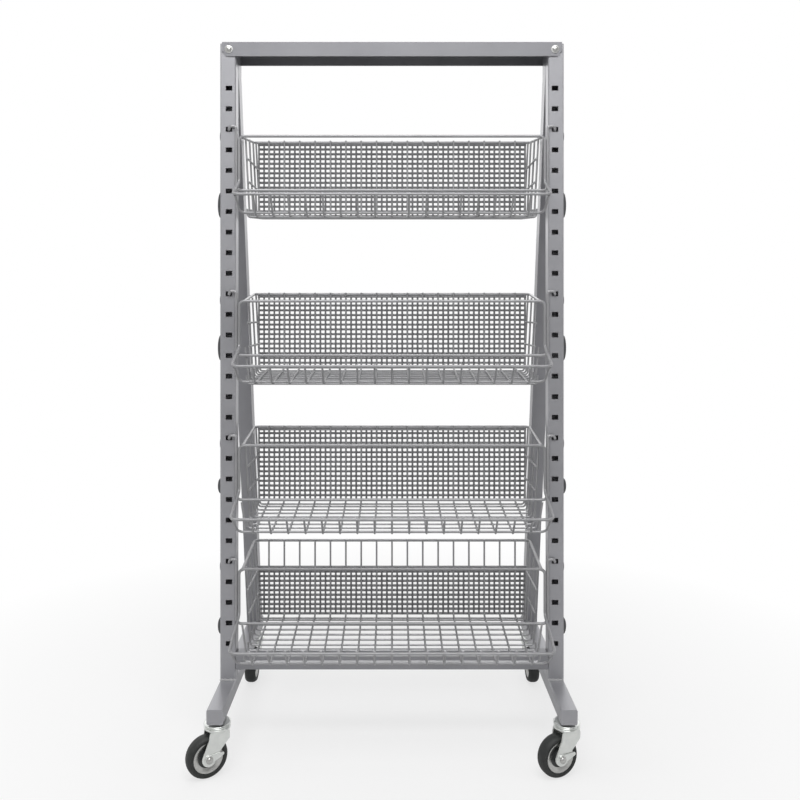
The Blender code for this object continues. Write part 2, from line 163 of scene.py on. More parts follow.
def bent(corners, radius, steps=5, closed=False):
    """A path with each corner turned on an arc of this radius, as wire bent round a pin."""
    corners = np.asarray(corners, float)
    count = len(corners)
    path = []
    for i in range(count):
        if not closed and i in (0, count - 1):
            path.append(corners[i][None])
            continue
        back = corners[i - 1] - corners[i]
        on = corners[(i + 1) % count] - corners[i]
        back, on = back / np.linalg.norm(back), on / np.linalg.norm(on)
        half = np.arccos(np.clip(back.dot(on), -1, 1)) / 2
        if half > 1.5:
            path.append(corners[i][None])
            continue
        middle = (back + on) / np.linalg.norm(back + on)
        centre = corners[i] + middle * radius / np.sin(half)
        start = corners[i] + back * radius / np.tan(half) - centre
        stop = corners[i] + on * radius / np.tan(half) - centre
        cross = stop - stop.dot(start) * start / radius**2
        cross = cross / np.linalg.norm(cross) * radius
        turn = np.linspace(0, np.pi - 2 * half, steps + 1)[:, None]
        path.append(centre + start * np.cos(turn) + cross * np.sin(turn))
    return np.concatenate(path)


# %% Turned shapes and plates
def turned_mesh(name, profile, around=48, ring=False, smooth=35):
    """A profile of (radius, height) turned about Z: point(i, a) = (r cos a, r sin a, h)."""
    profile = np.asarray(profile, float)
    a = np.arange(around) * 2 * np.pi / around
    x = profile[:, :1] * np.cos(a)
    y = profile[:, :1] * np.sin(a)
    z = np.repeat(profile[:, 1:], around, axis=1)
    points = np.stack([x, y, z], -1).reshape(-1, 3)
    faces = grid_faces(len(profile), around, ring, True)[:, ::-1].tolist()
    if not ring:
        faces.append(list(range(around)))
        last = (len(profile) - 1) * around
        faces.append(list(range(last, last + around))[::-1])
    return mesh_from(name, points, faces, smooth)


def plate_mesh(name, outline, thickness, edge=0.0):
    """A flat outline in X and Y with a thickness in Z and its edges drawn in by the edge radius."""
    outline = np.asarray(outline, float)
    count = len(outline)
    run = np.roll(outline, -1, 0) - np.roll(outline, 1, 0)
    inward = np.stack([-run[:, 1], run[:, 0]], 1)
    inward /= np.linalg.norm(inward, axis=1, keepdims=True)
    half = thickness / 2
    rings = []
    for inset, z in ((edge, -half), (edge * 0.3, -half + edge * 0.3), (0, -half + edge),
                     (0, half - edge), (edge * 0.3, half - edge * 0.3), (edge, half)):
        flat = outline + inward * inset
        rings.append(np.column_stack([flat, np.full(count, z)]))
    faces = grid_faces(6, count, False, True).tolist()
    faces.append(list(range(count))[::-1])
    faces.append(list(range(5 * count, 6 * count)))
    return mesh_from(name, np.concatenate(rings), faces, 50)


def moved(mesh, turn=np.eye(3), shift=(0, 0, 0)):
    """Turn or mirror a mesh and shift it: point' = turn . point + shift, faces still outwards."""
    points = np.empty(len(mesh.vertices) * 3)
    mesh.vertices.foreach_get("co", points)
    points = points.reshape(-1, 3) @ np.asarray(turn).T + shift
    mesh.vertices.foreach_set("co", points.ravel())
    if np.linalg.det(turn) < 0:
        mesh.flip_normals()
    mesh.update()
    return mesh


# %% [markdown]
# ## Finishes
# The tubes and the cap have powder coat, the wires a glossier dip coat, the casters bright zinc
# plate, the wheels' treads rubber and their cores moulded nylon. One flat colour would do from
# afar. Noise in the colour, the roughness and the bump gives each its own grain close up.
# Colours are written as sRGB hex, as a paint card gives them, and one function turns them to
# linear light.


# %% Colour and node helpers
def linear(text):
    """sRGB hex to linear: c / 12.92 when dark, else ((c + 0.055) / 1.055) ** 2.4."""
    c = np.array([int(text[i : i + 2], 16) for i in (1, 3, 5)]) / 255
    c = np.where(c <= 0.04045, c / 12.92, ((c + 0.055) / 1.055) ** 2.4)
    return (*c.tolist(), 1.0)


def add_node(tree, kind, settings=None, links=None):
    """Add a node, set its own settings or its sockets' values, and link its inputs."""
    node = tree.nodes.new(kind)
    for key, value in (settings or {}).items():
        if isinstance(key, str) and hasattr(node, key):
            setattr(node, key, value)
        else:
            node.inputs[key].default_value = value
    for key, socket in (links or {}).items():
        tree.links.new(socket, node.inputs[key])
    return node


def new_material(name):
    """An empty material with its output node."""
    material = bpy.data.materials.new(name)
    material.use_nodes = True
    tree = material.node_tree
    tree.nodes.clear()
    return material, tree, tree.nodes.new("ShaderNodeOutputMaterial")


# %% Powder coat on steel tube
def powder_coat(name, light, dark, metallic, roughness, peel_mm, peel):
    """Baked polyester powder with aluminium flake: a satin grey with a fine orange peel."""
    material, tree, out = new_material(name)
    place = add_node(tree, "ShaderNodeTexCoord").outputs["Object"]
    # A scale counts features to the metre. The flake is 0.45 mm across, coarser than the real
    # one so that it shows, and the coat's uneven patches are about 110 mm.
    flake = add_node(
        tree,
        "ShaderNodeTexNoise",
        {"Scale": 2200.0, "Detail": 2.0},
        {"Vector": place},
    )
    cloud = add_node(tree, "ShaderNodeTexNoise", {"Scale": 9.0, "Detail": 3.0}, {"Vector": place})
    mixed = add_node(
        tree,
        "ShaderNodeMath",
        {"operation": "MULTIPLY_ADD", 1: 0.35},
        {0: flake.outputs["Fac"], 2: cloud.outputs["Fac"]},
    )
    ramp = add_node(
        tree,
        "ShaderNodeMapRange",
        {"From Min": 0.4, "From Max": 0.95},
        {"Value": mixed.outputs[0]},
    )
    colour = add_node(
        tree,
        "ShaderNodeMix",
        {"data_type": "RGBA", 6: linear(dark), 7: linear(light)},
        {0: ramp.outputs[0]},
    )
    rough = add_node(
        tree,
        "ShaderNodeMapRange",
        {"To Min": roughness - 0.06, "To Max": roughness + 0.06},
        {"Value": cloud.outputs["Fac"]},
    )
    grain = add_node(
        tree,
        "ShaderNodeTexNoise",
        {"Scale": 1000.0 / peel_mm, "Detail": 1.0},
        {"Vector": place},
    )
    bump = add_node(
        tree,
        "ShaderNodeBump",
        {"Strength": peel, "Distance": 0.0002},
        {"Height": grain.outputs["Fac"]},
    )
    shader = add_node(
        tree,
        "ShaderNodeBsdfPrincipled",
        {"Metallic": metallic},
        {
            "Base Color": colour.outputs[2],
            "Roughness": rough.outputs[0],
            "Normal": bump.outputs[0],
        },
    )
    tree.links.new(shader.outputs[0], out.inputs[0])
    return material


# Orange peel about 1.6 mm across, drawn from the real coat's 1 to 2 mm.
tube_coat = powder_coat("silver_powder_coat", "#ABABAF", "#9E9EA2", 0.45, 0.38, 1.6, 0.25)
# The wires are dipped thinner and shine more, and their welds pool the coat.
wire_coat = powder_coat("wire_dip_coat", "#A8A8AA", "#979799", 0.35, 0.34, 1.2, 0.15)
mesh_coat = powder_coat("mesh_dip_coat", "#8C8C8E", "#7C7C7E", 0.25, 0.42, 1.2, 0.15)
# The cap is folded sheet. Its coat is written a little darker than the tubes': painted shade.
cap_painted_shade_coat = powder_coat("cap_powder_coat_painted_shade", "#8F8F93", "#848488", 0.45, 0.38, 1.6, 0.25)
# Painted shade: the crossbar and the rear legs stand in the frame's own shade, so their coat is
# written a shade darker than the uprights'.
leg_painted_shade_coat = powder_coat("leg_powder_coat_painted_shade", "#9B9B9F", "#8F8F93", 0.45, 0.38, 1.6, 0.25)
# The weld beads are coloured lighter and glossier than the tubes.
bead_coat = powder_coat("weld_bead_coat", "#DCDCDC", "#B4B4B6", 0.55, 0.30, 1.2, 0.4)
# Painted shade: the clips are coloured dark for the shade that falls on them beside the uprights.
painted_shade_clip_coat = powder_coat("clip_coat_painted_shade", "#5E5F61", "#525355", 0.30, 0.45, 1.2, 0.2)
print("powder coats:", tube_coat.name, cap_painted_shade_coat.name, leg_painted_shade_coat.name)


# %% Bright zinc plate
def zinc_plate(name, light, dark, roughness):
    """Electroplated zinc on pressed steel: bright, a little cloudy, with faint drawing marks."""
    material, tree, out = new_material(name)
    place = add_node(tree, "ShaderNodeTexCoord").outputs["Object"]
    # The cloudy patches are about 11 mm across, and the marks 1.4 mm, coarse enough to show.
    cloud = add_node(tree, "ShaderNodeTexNoise", {"Scale": 90.0, "Detail": 4.0}, {"Vector": place})
    colour = add_node(
        tree,
        "ShaderNodeMix",
        {"data_type": "RGBA", 6: linear(dark), 7: linear(light)},
        {0: cloud.outputs["Fac"]},
    )
    rough = add_node(
        tree,
        "ShaderNodeMapRange",
        {"To Min": roughness - 0.08, "To Max": roughness + 0.10},
        {"Value": cloud.outputs["Fac"]},
    )
    mark = add_node(tree, "ShaderNodeTexNoise", {"Scale": 700.0, "Detail": 2.0}, {"Vector": place})
    bump = add_node(
        tree,
        "ShaderNodeBump",
        {"Strength": 0.12, "Distance": 0.0001},
        {"Height": mark.outputs["Fac"]},
    )
    shader = add_node(
        tree,
        "ShaderNodeBsdfPrincipled",
        {"Metallic": 1.0},
        {
            "Base Color": colour.outputs[2],
            "Roughness": rough.outputs[0],
            "Normal": bump.outputs[0],
        },
    )
    tree.links.new(shader.outputs[0], out.inputs[0])
    return material


zinc = zinc_plate("bright_zinc_plate", "#F4F6F3", "#DEE1DE", 0.33)
bolt_zinc = zinc_plate("bolt_zinc_plate", "#D6D6D4", "#B9B9B6", 0.30)
print("zinc plates:", zinc.name, bolt_zinc.name)


# %% Rubber tread and nylon core
def moulded(name, light, dark, roughness, grain_mm, bump_height):
    """A moulded polymer: one colour, dusty in places, with the mould's fine grain."""
    material, tree, out = new_material(name)
    place = add_node(tree, "ShaderNodeTexCoord").outputs["Object"]
    # The dust lies in patches about 17 mm across.
    dust = add_node(tree, "ShaderNodeTexNoise", {"Scale": 60.0, "Detail": 5.0}, {"Vector": place})
    colour = add_node(
        tree,
        "ShaderNodeMix",
        {"data_type": "RGBA", 6: linear(dark), 7: linear(light)},
        {0: dust.outputs["Fac"]},
    )
    grain = add_node(
        tree,
        "ShaderNodeTexNoise",
        {"Scale": 1000.0 / grain_mm, "Detail": 2.0},
        {"Vector": place},
    )
    bump = add_node(
        tree,
        "ShaderNodeBump",
        {"Strength": 0.3, "Distance": bump_height},
        {"Height": grain.outputs["Fac"]},
    )
    shader = add_node(
        tree,
        "ShaderNodeBsdfPrincipled",
        {"Roughness": roughness},
        {"Base Color": colour.outputs[2], "Normal": bump.outputs[0]},
    )
    tree.links.new(shader.outputs[0], out.inputs[0])
    return material


tread_rubber = moulded("black_rubber_tread", "#333534", "#222423", 0.55, 0.8, 0.0002)
nylon_core = moulded("dark_nylon_core", "#3C3E3E", "#2B2D2D", 0.42, 0.6, 0.0001)
hub_cap = moulded("grey_bearing_cover", "#9A9C9B", "#858786", 0.35, 0.6, 0.0001)
print(len(bpy.data.materials), "materials")

# %% [markdown]
# ## The frame
# On the real rack these are square tubes cut to length and welded, and a folded cap bolted on.
# Their shapes are right in the model, so they stay as they are and each one only gets its finish.

# %% Finish of the model's own pieces
# The top cap, the crossbar and the rear legs get coats written darker: painted shade.
coats = {"upright": tube_coat, "foot_beam": tube_coat, "top_cap": cap_painted_shade_coat,
         "rear_leg": leg_painted_shade_coat, "bottom_crossbar": leg_painted_shade_coat, "caster": zinc}
for node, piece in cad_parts.items():
    for start, coat in coats.items():
        if node.startswith(start):
            for place in piece.material_slots:
                place.material = coat
print("finished pieces:", sum(node.startswith(tuple(coats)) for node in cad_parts))


# %% Placing a new piece
def add_piece(name, mesh, material, body, slot, *nodes):
    """Put a mesh in the scene: its finish, the body it moves with, and the nodes it stands for."""
    mesh.materials.append(material)
    piece = bpy.data.objects.new(name, mesh)
    bpy.context.scene.collection.objects.link(piece)
    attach(piece, body)
    if nodes:
        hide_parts(*nodes)
    return piece


# %% Joining meshes
def joined(name, meshes, smooth=40):
    """Several meshes as one, their points and faces one after another."""
    points, faces, start = [], [], 0
    for mesh in meshes:
        points.append(np.array([v.co for v in mesh.vertices]))
        faces += [[i + start for i in p.vertices] for p in mesh.polygons]
        start += len(mesh.vertices)
    return mesh_from(name, np.concatenate(points), faces, smooth)


# %% [markdown]
# ## Small fittings
# Dome-headed bolts hold the cap, weld beads run along the uprights' feet, and clips show beside
# the uprights at each basket, coloured dark with painted shade. They are too small for the model
# and are made here: the bolts turned from a profile, the beads as a rippled wire, the clips cut
# from an outline.

# %% Cap bolts
# These turn a shape so that its own Z faces the front or the back.
facing_front = np.array([[1, 0, 0], [0, 0, -1], [0, 1, 0]])
facing_back = np.array([[1, 0, 0], [0, 0, 1], [0, -1, 0]])
bolt_z = 1.336
dome = [(0.0075, 0.0), (0.0075, 0.0008), (0.0060, 0.0010), (0.0057, 0.0022), (0.0045, 0.0034),
        (0.0026, 0.0041), (0.0008, 0.0043)]
cap_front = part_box("top_cap")[0][1]
cap_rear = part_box("top_cap")[1][1]
bolts = []
for sign in (-1, 1):
    for turn, y in ((facing_front, cap_front - 0.0002), (facing_back, cap_rear + 0.0002)):
        head = turned_mesh("bolt", dome, 32)
        bolts.append(moved(head, turn, (centre_x + sign * slot_x, y, bolt_z)))
add_piece("cap_bolts", joined("cap_bolts", bolts), bolt_zinc, "rack", "zinc_plate")
print(len(bolts), "cap bolts")

# %% Weld beads in front of and behind the uprights' feet
bead_radius, bead_steps = 0.0026, 40
offset = tube / 2 + 0.0006
share = np.linspace(-0.02, 1.02, bead_steps)
ripple = 0.0011 * np.sin(np.arange(bead_steps) * 1.9)
beads = []
for sign in (-1, 1):
    x = centre_x + sign * (half_frame - tube / 2)
    for side in (-1, 1):
        along = side * (1 - 2 * share)
        y = np.full(bead_steps, front_y + tube / 2 + side * offset)
        path = np.column_stack([x + along * offset, y, foot_top + 0.0008 + ripple])
        beads.append(path[np.abs(along) * offset < tube / 2 - 0.001])
add_piece("weld_beads", wire_mesh("weld_beads", beads, bead_radius, 8), bead_coat, "rack",
          "powder_coat")
print(len(beads), "weld beads")

# %% Clips beside the uprights, dark with painted shade
clip_deep = 0.014
# How far the lower clip at each basket lies below the slot, and its height.
drops = (0.145, 0.104, 0.094, 0.127)
talls = (0.050, 0.050, 0.030, 0.032)


def clip(sign, middle, tall, proud):
    """A strip on an upright's outer face that bulges by proud * sqrt(1 - share ** 2)."""
    share = np.linspace(-1, 1, 24)
    bulge = proud * np.sqrt(np.clip(1 - share**2, 0.01, 1))
    across = np.concatenate([bulge, [0, 0]])
    up = np.concatenate([share * tall / 2, [tall / 2, -tall / 2]])
    plate = plate_mesh("clip", np.column_stack([across, up]), clip_deep, 0.0004)
    turn = np.array([[sign, 0, 0], [0, 0, -sign], [0, 1, 0]])
    face = centre_x + sign * (half_frame + 0.0002)
    return moved(plate, turn, (face, front_y + tube / 2, middle))


clips = []
for slot, drop, tall in zip(hook_slots, drops, talls):
    level = slot_first - slot * slot_pitch
    for sign in (-1, 1):
        clips.append(clip(sign, level - drop, tall, 0.0060))
        clips.append(clip(sign, level - 0.012, 0.020, 0.0020))
add_piece("side_clips", joined("side_clips", clips), painted_shade_clip_coat, "rack", "coated_wire")
print(len(clips), "side clips")

# %% [markdown]
# ## The baskets
# Each basket is steel wire bent over pins and welded where wires cross. Curves with a bevel could
# make it. Here a path is worked out for each wire and one circle is carried along it, because
# that gives closed meshes and lets a loop write all the wires of a grid.

# %% Sizes of a basket
# Radii: frame, front edge, grid, and the fine mesh's upright and level wires.
frame_wire, edge_wire, thin_wire, fine_wire, row_wire = 0.00275, 0.0023, 0.0019, 0.0021, 0.0026
# Half width, height and depth. How far the top hangs below its slot, and the hanger's height.
half_basket, basket_tall, basket_deep = 0.293, 0.155, 0.139
basket_drop, hanger_tall = 0.014, 0.104
# Steps between long wires, between cross wires and between rows of the fine mesh.
pitch, cross_pitch, row_pitch = 0.032, 0.0215, 0.0098
# Height of the lip and of the bend in the front loop, and how far the sides lean in.
lip, bend_tall, lean_in = 0.035, 0.067, 0.008
# How much floor and rail rise to the back, and the height of the lowest basket's mesh.
floor_rise, back_rise = 0.016, 0.018
short_mesh = 0.097
to_middle = (centre_x, 0, 0)


def places_of(slot, reach):
    """Heights and depths that one basket's wires share, from its slot and its rim's reach."""
    slot_z = slot_first - slot * slot_pitch
    top = slot_z - basket_drop
    rail = half_basket - 2 * frame_wire - 0.0005
    back_y = front_y + basket_deep
    return SimpleNamespace(
        slot_z=slot_z,
        top=top,
        base=top - basket_tall,
        plane=front_y - frame_wire - 0.0005,
        rail=rail,
        wall=rail - frame_wire - thin_wire - 0.0002,
        rail_z=top - 0.0020,
        back_z=top - 0.0020 + back_rise,
        back_y=back_y,
        grid_y=back_y - frame_wire - thin_wire - 0.0002,
        rim_y=front_y - reach,
        low_y=front_y - reach + lip,
    )


def other_half(corners):
    """The same corners mirrored in the middle, in the order that goes on from them."""
    return [(-x, y, z) for x, y, z in reversed(corners)]


print("baskets", 2 * half_basket, "m wide and", basket_tall, "m high")

# %% [markdown]
# ### Hanger and rim
# These are the two thick wires that carry the load. The hanger is bent from one length: a hook
# in each upright's slot, a leg below it and a level foot between. The rim's front loop is closed
# and leans out to the front, and its back wire runs round the sides and the back.


# %% Hanger
def hanger(name, at):
    """One wire: hook, leg, level foot, and the same again on the other side."""
    outer = half_basket + 2 * frame_wire - 0.0002
    seat = at.slot_z - slot_tall / 2 + frame_wire + 0.0002
    leg_y, foot_z = at.plane - 0.0008, at.top - hanger_tall
    hook = [(slot_x, front_y + 0.006, seat), (slot_x - 0.0005, at.plane, seat + 0.001)]
    hook += [(slot_x - 0.003, at.plane - 0.001, at.slot_z + 0.0050)]
    hook += [(outer, at.plane - 0.001, at.slot_z + 0.0046), (outer, leg_y, at.slot_z - 0.020)]
    foot = bent([hook[-1], (outer, leg_y, foot_z), (0, leg_y, foot_z)], 0.010, 6)
    half = np.concatenate([bent(hook, 0.0040, 5), foot[1:-1]])
    path = np.concatenate([half * (-1, 1, 1), half[::-1]]) + to_middle
    mesh = wire_mesh(name + "_hanger", [path], frame_wire, 14)
    add_piece(name + "_hanger", mesh, wire_coat, "rack", "coated_wire", name + "_hanger_frame")


# %% Rim
def rim(name, at):
    """A closed loop in front, and a wire along the sides and the back."""
    half = [(half_basket, at.plane, at.top), (half_basket, at.plane, at.base + bend_tall)]
    half += [(half_basket, at.rim_y, at.base + lip)]
    front = bent(half + other_half(half), 0.010, 7, True) + to_middle
    side = [(at.rail, at.plane + 0.001, at.rail_z), (at.rail, at.back_y, at.back_z)]
    back = bent(side + other_half(side), 0.010, 7) + to_middle
    meshes = [wire_mesh("front", [front], frame_wire, 14, True)]
    meshes += [wire_mesh("back", [back], frame_wire, 12)]
    add_piece(name + "_rim", joined(name + "_rim", meshes), wire_coat, "rack", "coated_wire",
              name + "_rim_loop")


# %% [markdown]
# ### Grid
# Long wires run from the back rail down, along the floor and up to the lip. Cross wires lie under
# them and are bent up at both sides, and level wires stiffen the sides. On the real basket this is
# one flat welded mat, folded in a press. Here each wire gets its folded path at once.


# %% Grid wires
def long_wires(at):
    """Paths down the back, along the floor and up the lip, eight on each side of the middle."""
    paths = []
    for x in centre_x + np.arange(-8, 9) * pitch:
        corners = [(x, at.grid_y, at.back_z + 0.003), (x, at.grid_y, at.base + floor_rise + 0.001)]
        corners += [(x, at.low_y, at.base), (x, at.rim_y + frame_wire, at.base + lip + 0.003)]
        paths.append(bent(corners, 0.008, 5))
    return paths


def cross_wires(at):
    """Paths across the floor, bent up to the rim, or every second time only a little way."""
    # A little gentler than the long wires' slope, so at the back these lie 1 mm under them.
    slope = floor_rise / (at.back_y - at.low_y)
    depths = np.arange(at.low_y + 0.020, at.grid_y - 0.012, cross_pitch)
    depths = np.append(depths, at.grid_y - 0.0045)
    paths = []
    for step, y in enumerate(depths[::-1]):
        z = at.base + (y - at.low_y) * slope - 2 * thin_wire * 0.92
        if y > at.plane + 0.003:
            high = at.rail_z + (y - at.plane) * back_rise / (at.back_y - at.plane)
        else:
            high = at.base + lip + (y - at.rim_y) * (bend_tall - lip) / (at.plane - at.rim_y)
        end, corner = (-at.wall, y, high - 0.001), (lean_in - at.wall, y, z)
        if step % 2:
            end = (lean_in - at.wall - 0.0012, y, z + 0.016)
        half = [end, corner]
        paths.append(bent(half + other_half(half), 0.006, 5) + to_middle)
    return paths


def side_wires(at):
    """Two level paths on each side, just inside the ends of the cross wires."""
    paths = []
    for share in (0.36, 0.70):
        height = at.base + 0.02 + share * (at.rail_z - at.base - 0.02)
        lean = at.wall - lean_in * (1 - share) - 0.002
        for x in (-lean, lean):
            path = np.array([(x, at.grid_y - 0.004, height), (x, at.plane + 0.004, height)])
            paths.append(path + to_middle)
    return paths


def edge_path(at):
    """The floor's front edge, turned up to the rim at both ends."""
    edge_x, edge_z = half_basket - 0.004, at.base + edge_wire + thin_wire
    edge = [(-edge_x, at.rim_y + 0.004, at.base + lip - 0.002)]
    edge += [(0.004 - edge_x, at.low_y - 0.002, edge_z)]
    return bent(edge + other_half(edge), 0.012, 6) + to_middle


def grid(name, at):
    """All the grid's wires as one piece."""
    meshes = [wire_mesh("long", long_wires(at), thin_wire, 8)]
    meshes.append(wire_mesh("edge", [edge_path(at)], edge_wire, 12))
    meshes.append(wire_mesh("cross", cross_wires(at), thin_wire, 8))
    meshes.append(wire_mesh("upper", side_wires(at), thin_wire, 8))
    add_piece(name + "_wires", joined(name + "_wires", meshes), wire_coat, "rack", "coated_wire",
              name + "_floor", name + "_lip", name + "_back_grid", name + "_side_left",
              name + "_side_right")


# %% [markdown]
# ### Fine mesh
# A finer mat is welded behind the back's long wires, so that small goods can't fall through. A
# picture of holes on a flat sheet would be cheaper, but it would show as flat from the side, so
# every wire is real. The lowest basket's mesh stops part of the way up.


# %% Fine mesh
def fine_mesh(name, at, tall=None):
    """Upright and level wires and two binding wires along the top edge."""
    y = at.grid_y + thin_wire + fine_wire * 0.9
    low = at.base + floor_rise + 0.002
    high = low + tall if tall else at.back_z - frame_wire - 0.001
    # Three columns to each step of the long wires, and this many on each side of the middle.
    columns = 26
    side = columns * pitch / 3 + fine_wire

    def level(y, z):
        return np.array([(centre_x - side, y, z), (centre_x + side, y, z)])

    upright = [np.array([(x, y, low), (x, y, high)])
               for x in centre_x + np.arange(-columns, columns + 1) * pitch / 3]
    upright += [level(y - 0.0010, high + 0.0016), level(y - 0.0010, high - 0.0018)]
    rows = np.linspace(low, high, int(round((high - low) / row_pitch)) + 1)
    meshes = [wire_mesh("upright", upright, fine_wire, 6)]
    meshes.append(wire_mesh("level", [level(y + fine_wire * 1.5, z) for z in rows], row_wire, 6))
    add_piece(name + "_mesh", joined(name + "_mesh", meshes), mesh_coat, "rack", "coated_wire",
              name + "_fine_mesh")
    return len(rows)


# %% Four baskets
for number, (slot, reach) in enumerate(zip(hook_slots, reaches), 1):
    name, at = "basket_%d" % number, places_of(slot, reach)
    hanger(name, at)
    rim(name, at)
    grid(name, at)
    rows = fine_mesh(name, at, short_mesh if number == 4 else None)
    print(name, "floor at", round(at.base, 4), "m,", rows, "rows of fine mesh")


# %% [markdown]
# ## The casters
# A caster is a fork of pressed, zinc-plated steel that turns under a race, and a wheel with a
# rubber tread on a moulded core. What is round is a profile turned on an axis, and what is
# pressed is an outline with a thickness. Each caster is made about its own stem and then turned
# and shifted to its place, so the same functions serve all four. The front two stand turned as
# in the photograph.

# %% Sizes and places of the casters
# The wheel, how far its axle trails the stem, the fork's legs and sheet, the top of the race.
wheel_radius, wheel_width, trail = 0.0375, 0.024, 0.020
leg_inside, sheet = wheel_width / 2 + 0.002, 0.0025
race_top = foot_bottom - 0.0003
# Name, where the stem stands from the front's middle, and which way the wheel trails.
places = (("front_left", -0.315, -0.097, 210), ("front_right", 0.315, -0.097, 202),
          ("rear_left", -0.315, 0.300, 270), ("rear_right", 0.315, 0.300, 270))


def about_z(degrees):
    """The turn by this angle about the upright axis."""
    a = np.radians(degrees)
    return np.array([[np.cos(a), -np.sin(a), 0], [np.sin(a), np.cos(a), 0], [0, 0, 1]])


# %% Wheel
def wheel_pieces(place, spot, turn):
    """Tread, core, hub rings and bearing covers, each a profile turned about the axle."""
    half, r = wheel_width / 2, wheel_radius
    a = np.linspace(-1, 1, 13)
    crown = np.column_stack([r - 0.0045 * np.abs(a) ** 3.2, a * (half - 0.0002)])
    tread = np.concatenate([[(r - 0.010, -half + 0.0016), (r - 0.0060, -half + 0.0002)], crown,
                            [(r - 0.0060, half - 0.0002), (r - 0.010, half - 0.0016)]])
    half_core = [(0.0048, half + 0.0006), (0.0096, half + 0.0006), (0.0106, half - 0.0018)]
    half_core += [(0.0118, half - 0.0052), (0.0269, half - 0.0052), (0.0271, half - 0.0014)]
    half_core += [(r - 0.0098, half - 0.0014)]
    core = half_core + [(radius, -h) for radius, h in reversed(half_core)]
    hub = [(0.0180, half - 0.0046), (0.0192, half - 0.0043), (0.0256, half - 0.0013)]
    hub += [(0.0266, half - 0.0013), (0.0269, half - 0.0020), (0.0269, half - 0.0055)]
    hub += [(0.0180, half - 0.0055)]
    cover = [(0.0046, half + 0.0012), (0.0085, half + 0.0012), (0.0092, half + 0.0009),
             (0.0092, half - 0.001), (0.0046, half - 0.001)]
    made = [("tread", tread, tread_rubber), ("core", core, nylon_core)]
    for side, sign in (("near", 1), ("far", -1)):
        made.append(("hub_" + side, [(radius, sign * h) for radius, h in hub], bolt_zinc))
        made.append(("cover_" + side, [(radius, sign * h) for radius, h in cover], hub_cap))
    for part, profile, material in made:
        mesh = moved(moved(turned_mesh(part, profile, 64, True, 30), facing_back), turn, spot)
        nodes = ("caster_wheel_" + place,) if part == "tread" else ()
        slot = "wheel_rubber" if material in (tread_rubber, nylon_core) else "zinc_plate"
        add_piece("wheel_%s_%s" % (part, place), mesh, material, "wheel_" + place, slot, *nodes)


# %% Race and fork
def arc(centre, radius, start, stop, steps):
    """Points on a circle from one angle to another, in degrees."""
    a = np.radians(np.linspace(start, stop, steps))
    return np.column_stack([centre[0] + radius * np.cos(a), centre[1] + radius * np.sin(a)])


def race_piece(place, stem):
    """Two pressed rings under a collar, on the stem that goes up into the foot."""
    z = race_top
    profile = [(0.0046, z + 0.0135), (0.0046, z), (0.0095, z), (0.0098, z - 0.0028)]
    profile += [(0.0205, z - 0.0030), (0.0228, z - 0.0032), (0.0242, z - 0.0038)]
    profile += [(0.0245, z - 0.0046), (0.0240, z - 0.0053), (0.0226, z - 0.0057)]
    profile += [(0.0226, z - 0.0063), (0.0238, z - 0.0067), (0.0242, z - 0.0074)]
    profile += [(0.0238, z - 0.0081), (0.0220, z - 0.0084)]
    mesh = moved(turned_mesh("race", profile, 64, False, 50), shift=stem)
    add_piece("race_" + place, mesh, zinc, "rack", "zinc_plate", "caster_race_" + place)


def fork_piece(place, stem, turn):
    """A bulged crown and two pressed legs, with edges rounded as a press leaves them."""
    z = race_top - 0.0088
    crown = [(0.0195, z), (0.0224, z - 0.0003), (0.0237, z - 0.0012), (0.0240, z - 0.0028)]
    crown += [(0.0234, z - 0.0048), (0.0216, z - 0.0066), (0.0190, z - 0.0074)]
    meshes = [turned_mesh("crown", crown, 64, False, 50)]
    foot = arc((trail, wheel_radius), 0.0118, 12, -192, 28)
    top = [(-0.0172, 0.0690), (-0.0176, 0.0800), (-0.0150, z - 0.0022)]
    top += [(0.0150, z - 0.0022), (0.0178, 0.0800), (0.0192, 0.0700)]
    outline = np.concatenate([foot, top])
    for sign in (-1, 1):
        leg = plate_mesh("leg", outline, sheet, 0.0007)
        meshes.append(moved(leg, facing_front, (0, sign * (leg_inside + sheet / 2), 0)))
        boss = turned_mesh("boss", [(0.0085, 0.0009), (0.0095, 0.0)], 32)
        boss = moved(boss, facing_front, (trail, -leg_inside - sheet, wheel_radius))
        meshes.append(moved(boss, np.diag([1, -sign, 1])))
    mesh = moved(joined("fork_" + place, meshes, 50), turn, stem)
    add_piece("fork_" + place, mesh, zinc, "swivel_" + place, "zinc_plate",
              "caster_fork_" + place)


# %% Axle and lock lever
def axle_piece(place, stem, turn, lock):
    """A bolt through the hub: a domed head over a washer on one side, a domed nut on the other."""
    head = leg_inside + sheet + (0.0024 if lock else 0.0003)
    tail = -(leg_inside + sheet + 0.0003)
    profile = [(0.0006, head + 0.0040), (0.0024, head + 0.0037), (0.0044, head + 0.0029)]
    profile += [(0.0055, head + 0.0016), (0.0057, head + 0.0008), (0.0066, head + 0.0007)]
    profile += [(0.0066, head), (0.0039, head), (0.0039, tail), (0.0066, tail)]
    profile += [(0.0066, tail - 0.0008), (0.0056, tail - 0.0010), (0.0054, tail - 0.0026)]
    profile += [(0.0036, tail - 0.0037), (0.0006, tail - 0.0040)]
    mesh = moved(turned_mesh("axle", profile, 40, False, 40), facing_back, (trail, 0, wheel_radius))
    mesh = moved(mesh, turn, stem)
    add_piece("axle_" + place, mesh, bolt_zinc, "swivel_" + place, "zinc_plate",
              "caster_axle_" + place)


def lever_piece(place, stem, turn):
    """The side lock's strip: round about the axle, narrow and rounded at its far end."""
    outline = [arc((0, 0), 0.0085, -120, 85, 22), arc((-0.0235, 0.0062), 0.0034, 85, 258, 14)]
    plate = plate_mesh("lever", np.concatenate(outline), 0.0017, 0.0005)
    spot = (trail, leg_inside + sheet + 0.0012, wheel_radius)
    mesh = moved(moved(plate, facing_front, spot), turn, stem)
    add_piece("lock_" + place, mesh, zinc, "lock_" + place, "zinc_plate", "caster_lock_" + place)


